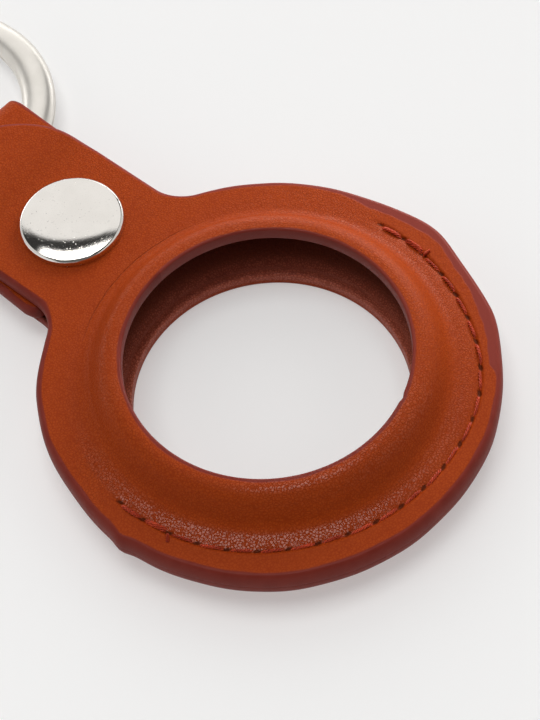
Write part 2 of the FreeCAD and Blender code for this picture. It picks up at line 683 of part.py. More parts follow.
# Limits along the tab: sewn half and flap of the front, panel, returned end and loop of the rear.
near_end = "-(rim_radius + trim_margin)"
sewn_half = (near_end, "hinge_distance - bend_slit / 2")
flap = ("hinge_distance + bend_slit / 2", "tab_tip + trim_margin")
panel = (near_end, "loop_hinge_distance - bend_slit / 2")
returned = ("return_end - return_margin / 2", "loop_hinge_distance - bend_slit / 2", "return_level - ply_gap / 2")
loop = ("loop_hinge_distance + bend_slit / 2", "loop_crest + trim_margin")
rear_skin_run = divide("rear_skin_run", rear_skin, *panel)
rear_lining_run = divide("rear_lining_run", rear_lining, *panel)
pieces = [
    divide("front_panel_outer", front_skin, *sewn_half),
    divide("front_panel_lining", front_lining, *sewn_half),
    divide("front_flap_outer", front_skin, *flap),
    divide("front_flap_lining", front_lining, *flap),
    divide("rear_panel_outer", rear_skin_run, *returned, keep=False),
    divide("rear_panel_lining", rear_lining_run, *returned, keep=False),
    divide("strap_end_outer", rear_skin_run, *returned),
    divide("strap_end_lining", rear_lining_run, *returned),
    divide("strap_loop_outer", rear_skin, *loop),
    divide("strap_loop_lining", rear_lining, *loop),
    sew("seam_thread_top", "front_top + thread_diameter / 2 + thread_lift"),
    sew("seam_thread_bottom", "-(front_top + thread_diameter / 2 + thread_lift)"),
    snap_cap,
    snap_cap_post,
    snap_socket,
    snap_spring,
    snap_stud,
    snap_post,
    make_key_ring(),
]
doc.recompute()

for item in doc.Objects:
    if "Invalid" in item.State or "Error" in item.State:
        raise RuntimeError("%s failed: %s" % (item.Label, item.State))
os.makedirs("parts", exist_ok=True)
for piece in pieces:
    if piece.Shape.isNull() or not piece.Shape.isValid() or piece.Shape.Volume <= 0:
        raise RuntimeError("%s has no valid solid" % piece.Label)
for piece in pieces:
    piece.Shape.exportStep("parts/%s.step" % piece.Label)
    print("%-20s solids %3d  volume %9.2f" % (piece.Label, len(piece.Shape.Solids), piece.Shape.Volume))
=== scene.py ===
import math

import bpy
import numpy as np
from mathutils import Matrix, Vector


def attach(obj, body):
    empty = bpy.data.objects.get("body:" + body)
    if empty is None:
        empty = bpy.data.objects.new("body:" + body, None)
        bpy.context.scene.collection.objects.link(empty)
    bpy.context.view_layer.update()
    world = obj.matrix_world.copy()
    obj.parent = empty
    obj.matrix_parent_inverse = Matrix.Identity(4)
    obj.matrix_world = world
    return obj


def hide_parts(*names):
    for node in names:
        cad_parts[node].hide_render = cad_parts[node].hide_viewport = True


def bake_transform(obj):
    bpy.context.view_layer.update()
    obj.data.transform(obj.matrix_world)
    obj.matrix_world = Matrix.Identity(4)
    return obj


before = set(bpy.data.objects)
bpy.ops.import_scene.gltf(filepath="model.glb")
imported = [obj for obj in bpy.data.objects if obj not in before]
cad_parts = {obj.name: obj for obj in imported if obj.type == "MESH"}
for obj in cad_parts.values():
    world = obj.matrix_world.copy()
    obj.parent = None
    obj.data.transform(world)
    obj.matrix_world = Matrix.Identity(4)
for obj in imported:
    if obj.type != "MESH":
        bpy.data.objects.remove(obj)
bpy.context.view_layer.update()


# Front leather: a skin and a lining of calf glued back to back, pressed hot over a round form with the
# window punched through its crown. Its lower half is sewn down, its upper half is the flap that ends in
# the tab. The cut edges are painted by hand. Lengths are in millimetres until a mesh is made.

MM = 0.001
leather_thickness = 1.53
lining_level = 0.02
grain_level = lining_level + leather_thickness

window_radius = 12.87
lip_length = 0.63
crown_level = 4.45
foot_start = 17.5
dome_turn = math.radians(56.0)
dome_run = foot_start - window_radius - lip_length
dome_rise = crown_level - grain_level
bend_drop = 1.0 - math.cos(dome_turn)
both_bends = (dome_run * math.sin(dome_turn) - dome_rise * math.cos(dome_turn)) / bend_drop
crown_radius = 0.48 * both_bends
foot_radius = both_bends - crown_radius
flank_length = (dome_rise - both_bends * bend_drop) / math.sin(dome_turn)
flank_start = lip_length + crown_radius * dome_turn
foot_from = flank_start + flank_length
dome_length = foot_from + foot_radius * dome_turn

rim_radius = 20.9
tab_half_width = 8.25
tab_lean = -0.03
tab_shift = -0.2
cap_distance = 24.9
neck_radius = 4.0
neck_across = tab_half_width + neck_radius
neck_along = math.sqrt((rim_radius + neck_radius) ** 2 - neck_across ** 2)
neck_on_rim = math.atan2(neck_across, neck_along)
neck_on_tab = math.atan2(tab_half_width, neck_along)
tab_tip = 40.075
tab_shoulder = 28.9

window_rounding = 0.24
rim_rounding = 0.55
rim_edge_depth = 1.30
rim_back_rounding = 0.02
rim_back_depth = 0.03
tab_rounding = 0.42
tab_edge_depth = 0.75
tab_back_rounding = 0.28
tab_back_depth = 0.48

seam_radius = 18.35
seam_middle = math.radians(2.1)
stitch_count = 23
seam_angle = math.radians(189.0)
stitch_angle = seam_angle / stitch_count
seam_sink = 0.22
crease_radius = 17.25
stretched_radius = 17.45


def dome_section(along, depth):
    """Radius and height of a point in the pressed leather's section.

    The grain face runs from the window outwards as a flat lip, the crown arc, a straight flank, the foot
    arc that turns back by the same angle, and the level brim. A point lies its depth below the face,
    along the normal.
    """
    lip = np.clip(along, None, lip_length)
    crown = np.clip((along - lip_length) / crown_radius, 0.0, dome_turn)
    flank = np.clip(along - flank_start, 0.0, flank_length)
    foot = np.clip((along - foot_from) / foot_radius, 0.0, dome_turn)
    brim = np.clip(along - dome_length, 0.0, None)
    foot_run = foot_radius * (math.sin(dome_turn) - np.sin(dome_turn - foot))
    foot_drop = foot_radius * (np.cos(dome_turn - foot) - math.cos(dome_turn))
    crown_drop = crown_radius * (1.0 - np.cos(crown))
    flank_run = math.cos(dome_turn) * flank
    radius = window_radius + lip + crown_radius * np.sin(crown) + flank_run + foot_run + brim
    height = crown_level - crown_drop - math.sin(dome_turn) * flank - foot_drop
    slope = crown - foot
    return radius - depth * np.sin(slope), height - depth * np.cos(slope)


def bump_at(angle, centre, width):
    """A bell curve of height 1 round the angle centre, on the circle."""
    away = np.angle(np.exp(1j * (angle - centre)))
    return np.exp(-(away / width) ** 2)


def hand_cut(angle):
    """How far the hand-trimmed rim leaves its true circle.

    Three slow sine waves, and a bell curve for each stretch cut full or lean: its height, the angle of
    its middle in degrees and its width.
    """
    waves = 0.05 * np.sin(5 * angle + 0.7) + 0.03 * np.sin(11 * angle + 2.0) + 0.015 * np.sin(23 * angle)
    lobes = [(0.48, 95.0, 0.16), (0.22, 124.0, 0.12)]
    kink = [(0.30, -94.0, 0.045)]
    full = [(0.22, -43.0, 0.22)]
    lean = [(-0.24, -74.0, 0.14), (-0.20, 69.0, 0.24)]
    stretches = lobes + kink + full + lean
    return waves + sum(height * bump_at(angle, math.radians(at), width) for height, at, width in stretches)


def seam_line(angle):
    """Radius of the hand-guided seam: its circle with one bow outwards and one inwards."""
    out = 0.58 * bump_at(angle, math.radians(149.0), 0.40)
    inwards = 0.20 * bump_at(angle, math.radians(-145.0), 0.32)
    return seam_radius + out - inwards


def outline_reach(angle, end_reach):
    """Distance from the window's axis to the cut edge, by the angle from +Y towards +X.

    The edge is the rim circle, then on each side of the tab a concave neck arc, the tab's straight side
    and the end, whose distance is given. Each is where the ray at that angle meets it.
    """
    across = np.abs(np.sin(angle))
    ahead = np.cos(angle)
    to_neck = neck_across * across + neck_along * ahead
    neck_gap = to_neck ** 2 - neck_across ** 2 - neck_along ** 2 + neck_radius ** 2
    neck = to_neck - np.sqrt(np.clip(neck_gap, 0.0, None))
    side = tab_half_width / np.clip(across, 1e-6, None)
    turned = np.abs(angle)
    tab = np.minimum(side, end_reach(across, ahead))
    on_rim = rim_radius + hand_cut(angle) * np.clip((turned - neck_on_rim) / 0.3, 0.0, 1.0)
    return np.where(turned > neck_on_rim, on_rim, np.where(turned > neck_on_tab, neck, tab))


def round_tab_end(across, ahead):
    """Where a ray meets the half ellipse that ends the tab, from the shoulder to the tip.

    It solves the quadratic for the distance t at which (t across / width)^2 + ((t ahead - shoulder) /
    length)^2 is 1, for rays that pass above the shoulder.
    """
    length = tab_tip - tab_shoulder
    square = (across / tab_half_width) ** 2 + (ahead / length) ** 2
    half_linear = ahead * tab_shoulder / length ** 2
    rest = (tab_shoulder / length) ** 2 - 1.0
    found = (half_linear + np.sqrt(np.clip(half_linear ** 2 - square * rest, 0.0, None))) / square
    return np.where(across * tab_shoulder < tab_half_width * ahead, found, np.inf)


def bent_strip(forward, height, start, level, legs, drawn_legs=2):
    """Carries the flat strip beyond start along a path of arcs, in the plane across the bends.

    A leg is its length and the angle that it turns, upwards positive. A point keeps its height over the
    level that the path is measured on. The first legs were cut to a plan drawing, so there the distance
    forward is read as plan distance; after them it is length along the leather.
    """
    lengths = np.array([leg[0] for leg in legs])
    ends = np.concatenate(([0.0], np.cumsum(lengths)))
    turns = np.concatenate(([0.0], np.cumsum([leg[1] for leg in legs])))
    steps = np.linspace(0.0, ends[-1] + 20.0, 12001)
    heading = np.interp(steps, ends, turns)
    pace = steps[1] - steps[0]
    middle = 0.5 * (heading[1:] + heading[:-1])
    path_y = start + np.concatenate(([0.0], np.cumsum(np.cos(middle) * pace)))
    path_z = level + np.concatenate(([0.0], np.cumsum(np.sin(middle) * pace)))
    drawn_length = ends[drawn_legs]
    drawn = steps <= drawn_length
    drawn_end = path_y[drawn][-1]
    run = np.where(
        forward < drawn_end,
        np.interp(forward, path_y[drawn], steps[drawn]),
        forward - drawn_end + drawn_length,
    )
    lift = height - level
    turned = np.interp(run, steps, heading)
    new_y = np.interp(run, steps, path_y) - lift * np.sin(turned)
    new_z = np.interp(run, steps, path_z) + lift * np.cos(turned)
    return np.where(forward > start, new_y, forward), np.where(forward > start, new_z, height)


def grid_faces(rows, columns):
    """Quads of a grid whose rows and columns both run on from the last to the first."""
    row, column = np.meshgrid(np.arange(rows), np.arange(columns), indexing="ij")
    next_row = (row + 1) % rows
    next_column = (column + 1) % columns
    corners = [(row, column), (row, next_column), (next_row, next_column), (next_row, column)]
    return np.stack([r * columns + c for r, c in corners], axis=-1).reshape(-1, 4)


def add_piece(name, points, faces, material):
    """Makes a smooth mesh object of points in millimetres, at the origin."""
    mesh = bpy.data.meshes.new(name)
    mesh.from_pydata((points.reshape(-1, 3) * MM).tolist(), [], faces)
    mesh.shade_smooth()
    mesh.materials.append(material)
    piece = bpy.data.objects.new(name, mesh)
    bpy.context.scene.collection.objects.link(piece)
    return piece


def add_attribute(piece, name, kind, values):
    """Stores one value or vector for each vertex of a piece, for its material to read."""
    field = "vector" if kind == "FLOAT_VECTOR" else "value"
    attribute = piece.data.attributes.new(name, kind, "POINT")
    attribute.data.foreach_set(field, np.ascontiguousarray(values, dtype=np.float32).ravel())


def quarter_turn(count):
    """Angles from 0 to a quarter turn, both ends included."""
    return np.linspace(0.0, 0.5 * math.pi, count)[:, None]


def tab_share(angle):
    """0 on the rim and 1 on the tab, with a straight rise where the neck begins."""
    return np.clip((neck_on_rim + 0.08 - np.abs(angle)) / 0.16, 0.0, 1.0)


def paint_lap(angle):
    """How far the edge paint laps onto the flat grain: a thin wavy line, broad and rough on one side."""
    thin = 0.15 - 0.09 * tab_share(angle) + 0.03 * np.sin(9 * angle + 1.0) + 0.02 * np.sin(31 * angle)
    broad = 0.70 + 0.16 * np.sin(9 * angle + 0.4) + 0.07 * np.sin(23 * angle + 2.0)
    broad = broad + 0.03 * np.sin(67 * angle)
    side = np.clip((angle - 1.05) / 0.30, 0.0, 1.0) * np.clip((2.50 - angle) / 0.05, 0.0, 1.0)
    return thin + (broad - thin) * side


def leaned(across, forward, lean):
    """The tab and the strap are cut a little askew.

    The shift sideways is the lean times the distance from the cap, plus a constant, and sets in by a
    smooth step across the dome.
    """
    leaning = np.clip((forward - 14.0) / 6.0, 0.0, 1.0)
    return across + (lean * (forward - cap_distance) + tab_shift) * leaning ** 2 * (3.0 - 2.0 * leaning)


def leather_panel(end_reach, columns, brim_rows, start, level, legs, lean, mirrored):
    """A pressed panel as a grid: one column for each angle, whose rows go once round its section.

    Columns are spaced evenly along the cut edge. A row is a distance along the grain face and a depth
    below it: dome, brim, rounded outer edge, back of the brim, back of the dome, rounded window edge.
    An edge is a quarter of an ellipse on the grain side and one on the back, deep on the rim, where both
    panels were painted as one edge, and shallower on the tab. A column that meets the edge at a slant
    spends the ellipse's width divided by the cosine of the slant. The grain is sunk along the seam, with
    a long bank inside and a short one outside. The rear panel is turned over. It gives the points, the
    faces and five values for the material: place x and y, depth, way into the paint, way off the seam.
    """
    fine = np.linspace(-math.pi, math.pi, 40001)
    fine_reach = outline_reach(fine, end_reach)
    edge_x = fine_reach * np.sin(fine)
    edge_y = fine_reach * np.cos(fine)
    walked = np.concatenate(([0.0], np.cumsum(np.hypot(np.diff(edge_x), np.diff(edge_y)))))
    angle = np.interp(np.linspace(0.0, walked[-1], columns, endpoint=False), walked, fine)
    slant = fine_reach / np.hypot(fine_reach, np.gradient(fine_reach, fine))
    reach = np.interp(angle, fine, fine_reach)
    steady = np.convolve(np.pad(slant, 40, mode="wrap"), np.ones(81) / 81, mode="valid")
    square_on = np.interp(angle, fine, steady)

    from_seam = np.abs(np.angle(np.exp(1j * (angle - math.pi + seam_middle))))
    sewn = np.clip((0.5 * seam_angle + 0.05 - from_seam) / 0.08, 0.0, 1.0)
    edge_at = dome_length + reach - foot_start
    on_tab = tab_share(angle)
    rounding = rim_rounding + (tab_rounding - rim_rounding) * on_tab
    outer = rounding / square_on
    outer_depth = rim_edge_depth + (tab_edge_depth - rim_edge_depth) * on_tab
    back = (rim_back_rounding + (tab_back_rounding - rim_back_rounding) * on_tab) / square_on
    back_depth = rim_back_depth + (tab_back_depth - rim_back_depth) * on_tab
    share = np.linspace(0.0, 1.0, brim_rows, endpoint=False)[:, None]
    dome = np.linspace(window_rounding, dome_length, 36, endpoint=False)[:, None]
    turn = quarter_turn(7)
    back_turn = quarter_turn(4)
    flat = np.ones_like(angle)[None, :]
    grain_brim = dome_length + share * (edge_at - outer - dome_length)
    back_brim = dome_length + share[::-2] * (edge_at - back - dome_length)
    closed_gap = lining_level * sewn * np.cos(back_turn)
    rows = [
        (dome * flat, 0.0 * dome * flat),
        (grain_brim, 0.0 * grain_brim),
        (edge_at - outer * (1.0 - np.sin(turn)), outer_depth * (1.0 - np.cos(turn))),
        (
            edge_at - back * (1.0 - np.cos(back_turn)),
            leather_thickness + closed_gap - back_depth * (1.0 - np.sin(back_turn)),
        ),
        (back_brim, leather_thickness + 0.0 * back_brim),
        (dome[::-2] * flat, leather_thickness + 0.0 * dome[::-2] * flat),
        (
            window_rounding * (1.0 - np.sin(back_turn)) * flat,
            leather_thickness - window_rounding * (1.0 - np.cos(back_turn)) * flat,
        ),
        (
            window_rounding * (1.0 - np.cos(turn)) * flat,
            window_rounding * (1.0 - np.sin(turn)) * flat,
        ),
    ]
    along = np.concatenate([row[0] for row in rows])
    depth = np.concatenate([row[1] for row in rows])
    on_grain = depth < 1e-6

    flat_radius = foot_start + along - dome_length
    line = seam_line(angle)
    bank_start = foot_start - 0.15
    inner_bank = np.clip((flat_radius - bank_start) / (line - bank_start), 0.0, 1.0) ** 1.4
    outer_bank = np.exp(-(np.clip(flat_radius - line, 0.0, None) / 0.2) ** 2)
    sunk = seam_sink * sewn * inner_bank * outer_bank
    radius, height = dome_section(along, depth + np.where(on_grain, sunk, 0.0))
    nick = 0.0 if mirrored else 0.13 * bump_at(angle, math.radians(163.0), 0.025)
    radius = radius + nick * np.exp(-(along / 0.6) ** 2)
    across = leaned(radius * np.sin(angle), radius * np.cos(angle), lean)
    forward, height = bent_strip(radius * np.cos(angle), height, start, level, legs)
    points = np.stack([across, forward, -height if mirrored else height], axis=-1)

    from_edge = (edge_at - along) * square_on
    outside = rounding + paint_lap(angle) - from_edge
    behind = 0.25 * on_tab - 0.1 - from_edge
    at_edge = np.where(depth > 0.5 * leather_thickness, np.maximum(behind, outside - 0.3), outside)
    window_lap = 0.35 + 0.10 * np.cos(angle + 2.4) + 0.03 * np.sin(7 * angle) + 0.02 * np.sin(19 * angle)
    at_window = window_lap - along - (2.0 if mirrored else 0.0)
    painted = np.maximum(at_edge, at_window)
    place = [flat_radius * np.sin(angle), flat_radius * np.cos(angle)]
    values = np.stack(place + [depth, painted, flat_radius - line], axis=-1)
    faces = grid_faces(*along.shape)
    if mirrored:
        faces = faces[:, ::-1]
    return points.reshape(-1, 3), faces, values.reshape(-1, 5)


def add_leather(name, material, points, faces, values):
    """Makes a leather piece and stores the values that its material reads.

    Place is where a point lies in the flat leather, with its depth below the grain as third number.
    """
    piece = add_piece(name, points, faces, material)
    add_attribute(piece, "place", "FLOAT_VECTOR", values[:, :3])
    add_attribute(piece, "painted", "FLOAT", values[:, 3])
    add_attribute(piece, "depth", "FLOAT", values[:, 2] / leather_thickness)
    add_attribute(piece, "off_seam", "FLOAT", values[:, 4])
    return piece


class Signal:
    """A socket of a shader tree. Arithmetic on signals adds Math nodes to that tree."""

    def __init__(self, tree, socket=None):
        self.tree = tree
        self.socket = socket

    def node(self, kind, settings, inputs, output=0):
        """Adds a node of this kind, sets it up, fills its sockets and gives one of its outputs."""
        made = self.tree.nodes.new("ShaderNode" + kind)
        for name, value in settings.items():
            setattr(made, name, value)
        for name, value in inputs.items():
            if isinstance(value, Signal):
                self.tree.links.new(value.socket, made.inputs[name])
            else:
                made.inputs[name].default_value = value
        return Signal(self.tree, made.outputs[output])

    def maths(self, operation, *values):
        """Adds a Math node for this operation on the values."""
        return self.node("Math", {"operation": operation}, dict(enumerate(values)))

    def __add__(self, other):
        return self.maths("ADD", self, other)

    __radd__ = __add__

    def __sub__(self, other):
        return self.maths("SUBTRACT", self, other)

    def __rsub__(self, other):
        return self.maths("SUBTRACT", other, self)

    def __mul__(self, other):
        return self.maths("MULTIPLY", self, other)

    __rmul__ = __mul__

    def __truediv__(self, other):
        return self.maths("DIVIDE", self, other)

    def __abs__(self):
        return self.maths("ABSOLUTE", self)

    def step(self, low, high):
        """0 below low, 1 above high and a smooth rise between."""
        limits = {"Value": self, "From Min": low, "From Max": high}
        return self.node("MapRange", {"interpolation_type": "SMOOTHSTEP"}, limits)

    def blend(self, first, second):
        """A colour that goes from the first to the second as this signal goes from 0 to 1."""
        return self.node("Mix", {"data_type": "RGBA"}, {0: self, 6: first, 7: second}, output=2)

    def feed(self, finish, socket):
        """Links this signal to a socket of the finishing shader."""
        self.tree.links.new(self.socket, finish.inputs[socket])


def new_material(name):
    """An empty node material: itself, a signal to start from, and its Principled shader."""
    material = bpy.data.materials.new(name)
    material.use_nodes = True
    return material, Signal(material.node_tree), material.node_tree.nodes["Principled BSDF"]


skin_dark = (0.288, 0.039, 0.0045, 1.0)
skin_light = (0.355, 0.055, 0.0072, 1.0)
grain_valley = (0.22, 0.022, 0.0020, 1.0)
# Lining colours: a lit one near the window, which also gives the painted glints, and a painted shadow for
# deep in the cavity between the domes and for the hidden backs.
lining_lit_glint = (0.52, 0.130, 0.080, 1.0)
lining_in_shadow = (0.040, 0.009, 0.006, 1.0)
# Painted shade for the crease at the dome's foot below the cap.
crease_shade_brown = (0.12, 0.014, 0.002, 1.0)
# Painted shade inside the needle holes.
needle_hole_shade = (0.016, 0.004, 0.002, 1.0)
# Edge paint colours: the pale one also serves as painted light on the lamp's side.
paint_dark = (0.135, 0.015, 0.009, 1.0)
paint_pale_and_lit = (0.195, 0.029, 0.019, 1.0)


def grained_leather(name):
    """Calf with a pressed pebble grain, painted edges and needle holes darkened as painted shade.

    Pebbles are Voronoi cells about a quarter of a millimetre wide, rounded by a smooth step on the
    distance to the cell's border. They stand out and shine where the pressing stretched the leather: at
    the dome's foot and on parts of its crown. Needle holes are ellipses round each end of a stitch, found
    from the angle and the way off the seam, and a crease follows the dome's foot below the cap; both are
    darkened as painted shade. The lining goes into painted shadow away from the window, with painted
    glints on its pebble tops near it, and the edge paint is lighter on the lamp's side as painted light.
    The colour goes from valley to pebble, then to lining, crease, hole and paint.
    """
    material, start, finish = new_material(name)
    place = start.node("Attribute", {"attribute_name": "place"}, {}, output="Vector")
    painted = start.node("Attribute", {"attribute_name": "painted"}, {}, output="Fac")
    depth = start.node("Attribute", {"attribute_name": "depth"}, {}, output="Fac")
    lining = depth.step(0.25, 0.6)

    warp = start.node("TexNoise", {}, {"Vector": place, "Scale": 2.2, "Detail": 2.0}, output="Color")
    warp = start.node("VectorMath", {"operation": "SCALE"}, {0: warp, "Scale": 0.3})
    bent_place = start.node("VectorMath", {"operation": "ADD"}, {0: place, 1: warp})
    cell = {"Vector": bent_place, "Scale": 3.8}
    border = start.node("TexVoronoi", {"feature": "DISTANCE_TO_EDGE"}, cell)
    pebble = border.step(0.0, 0.26)
    pebble_top = pebble.step(0.35, 0.95)
    pores = start.node("TexNoise", {}, {"Vector": place, "Scale": 7.0, "Detail": 3.0})
    broad = start.node("TexNoise", {}, {"Vector": place, "Scale": 0.11, "Detail": 3.0})
    cloud = start.node("TexNoise", {}, {"Vector": place, "Scale": 0.7, "Detail": 3.0})
    swell = start.node("TexNoise", {}, {"Vector": place, "Scale": 1.7, "Detail": 1.0})

    x, y = [start.node("SeparateXYZ", {}, {0: place}, output=axis) for axis in "XY"]
    radius = start.maths("SQRT", x * x + y * y)
    turned = start.maths("ARCTAN2", x, 0.0 - y) - seam_middle
    count = turned / stitch_angle + 0.5
    along = (count - start.maths("ROUND", count)) * (stitch_angle * seam_radius)
    off = start.node("Attribute", {"attribute_name": "off_seam"}, {}, output="Fac")
    from_seam = abs(turned)
    in_seam = start.maths("LESS_THAN", from_seam, 0.5 * seam_angle + 0.03)
    slanted = off + along * 0.22
    frayed = (cloud - 0.5) * 1.6 + (pores - 0.5) * 1.2
    hole_size = along * along / 0.15 + slanted * slanted / 0.036 + frayed
    hole = (1.0 - hole_size.step(0.1, 1.5)) * in_seam * (1.0 - lining)
    from_crease = abs(radius - crease_radius + (cloud - 0.5) * 0.3)
    below_cap = from_seam.step(2.55, 2.85)
    crease = (1.0 - from_crease.step(0.02, 0.10)) * below_cap * (1.0 - lining)
    pressed = off.step(-0.05, 0.25) * in_seam
    foot = 1.0 - abs(radius - stretched_radius).step(0.55, 1.15)
    near_side = 1.0 - abs(turned + 0.75).step(0.95, 1.45)
    near_crown = (1.0 - abs(turned + 0.25).step(0.45, 0.95)) * (1.0 - radius.step(13.0, 14.8))
    far_crown = from_seam.step(1.9, 2.2) * (1.0 - radius.step(15.0, 17.2))
    stretched = foot * (near_side * 0.9 + 0.1) + near_crown * 0.8 + far_crown * 0.35

    ragged = painted + (pores - 0.5) * 0.10 + (cloud - 0.5) * 0.12
    paint = ragged.step(-0.08, 0.11)

    shade = (broad - 0.5) * 1.2 + (cloud - 0.5) * 0.5 + 0.5
    skin = shade.blend(skin_dark, skin_light)
    pebbled = (pebble * 0.55 + pores * 0.45 + 0.15).blend(grain_valley, skin)
    # Painted shadow: the lining darkens away from the window into the cavity between the domes. Painted
    # glints: near the window its pebble tops are lightened.
    inside = radius.step(13.0, 15.9)
    shadow_and_glint_mix = inside + (0.45 - pebble_top * 0.6) * (1.0 - inside)
    inner = shadow_and_glint_mix.blend(lining_lit_glint, lining_in_shadow)
    lined = (lining * 0.8).blend(pebbled, inner)
    # Painted shade: the crease below the cap is darkened in the colour.
    creased = (crease * 0.5).blend(lined, crease_shade_brown)
    # Painted shade: the needle holes are darkened in the colour.
    with_hole_shade = (hole * 0.76).blend(creased, needle_hole_shade)
    # Painted light: on the lamp's side, right of the seam's middle, the edge paint is drawn lighter.
    lamp_side_light = turned.step(0.3, 0.9) * 0.55
    edge = (cloud * (1.0 - lamp_side_light) + lamp_side_light * 1.6).blend(paint_dark, paint_pale_and_lit)
    paint.blend(with_hole_shade, edge).feed(finish, "Base Color")

    (0.48 - pebble * 0.08 + (pores - 0.5) * 0.10 + paint * 0.14).feed(finish, "Roughness")
    grain = (0.30 + 0.4 * cloud + 0.9 * stretched + 0.6 * lining) * (1.0 - pressed * 0.8)
    grain = grain * (1.0 - paint * 0.85)
    surface = pebble * grain + pores * 0.3 * (1.0 - paint * 0.5) + swell * 1.5 * (1.0 - paint)
    surface = surface - hole * 2.0 - crease * 1.6
    relief = {"Strength": 0.6, "Distance": 0.045 * MM, "Height": surface}
    start.node("Bump", {}, relief).feed(finish, "Normal")
    gloss = pebble_top * stretched * (1.0 - pressed) * (1.0 - hole) * (1.0 - lining) * 0.55
    inner_gloss = pebble_top * lining * (1.0 - radius.step(13.4, 15.6)) * 0.4
    start.maths("MAXIMUM", gloss + paint * 0.09, inner_gloss).feed(finish, "Coat Weight")
    finish.inputs["Coat Roughness"].default_value = 0.24
    finish.inputs["Specular IOR Level"].default_value = 0.05
    return material


leather = grained_leather("tan_leather")
# The tab rises over the fold of the strap in two arcs, each a radius times its turn.
rise_start = 29.6
rise_turn = 0.3703
front_legs = [(6.1 * rise_turn, rise_turn), (9.1 * rise_turn, -rise_turn)]
front_points, front_faces, front_values = leather_panel(
    round_tab_end, columns=420, brim_rows=70,
    start=rise_start, level=grain_level, legs=front_legs, lean=tab_lean, mirrored=False,
)
front_leather = add_leather("front_leather", leather, front_points, front_faces.tolist(), front_values)
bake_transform(front_leather)
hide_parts("front_panel_outer", "front_panel_lining", "front_flap_outer", "front_flap_lining")


# Rear leather: the same pressed dome turned over, with a strap that steps down at the rim to make room for
# its own end, folds round the key ring and comes back under the tab, where the press stud's rivet holds both
# runs. The panel's shell ends in a stub inside the strap's shell, and both make one piece.

rear_start = 17.8
step_turn = math.radians(52.6)
step_end = 21.0
dip_turn = 0.5706
fold_radius = 1.2
fold_run = 4.45
# Step and level out, lower run, dip and level out, run to the fold, fold, run back, rise and level out, end.
rear_legs = [
    (2.2 * step_turn, step_turn),
    (1.8305 * step_turn, -step_turn),
    (9.6, 0.0),
    (5.0 * dip_turn, dip_turn),
    (3.33 * dip_turn, -dip_turn),
    (fold_run, 0.0),
    (fold_radius * math.pi, -math.pi),
    (fold_run, 0.0),
    (6.0 * rise_turn, -rise_turn),
    (9.2 * rise_turn, rise_turn),
    (rise_start - 21.25, 0.0),
]
stub_end = 22.8
strap_from = 22.0
strap_legs = rear_legs[2:]
leg_starts = step_end + np.concatenate(([0.0], np.cumsum([length for length, bend in strap_legs])))
strap_end = leg_starts[-1]
strap_corner = 1.5
strap_lean = -0.018
strap_growth = 0.008


def square_stub_end(across, ahead):
    """Where a ray meets the line that cuts the panel off square inside the strap."""
    return np.where(ahead > 0.0, stub_end / np.clip(ahead, 1e-6, None), np.inf)


def tube_faces(tubes, stations, sides):
    """Quads and end caps of tubes whose points are numbered by tube, station along and side around."""
    ring = np.arange(sides)
    station = np.arange(stations - 1)[:, None] * sides
    after = (ring + 1) % sides
    corners = [station + ring, station + after, station + sides + after, station + sides + ring]
    quads = np.stack(corners, axis=-1).reshape(-1, 4)
    first = np.arange(tubes)[:, None] * stations * sides
    quads = (first[:, :, None] + quads[None]).reshape(-1, 4)
    caps = np.concatenate((first + ring[::-1], first + (stations - 1) * sides + ring))
    return quads, caps


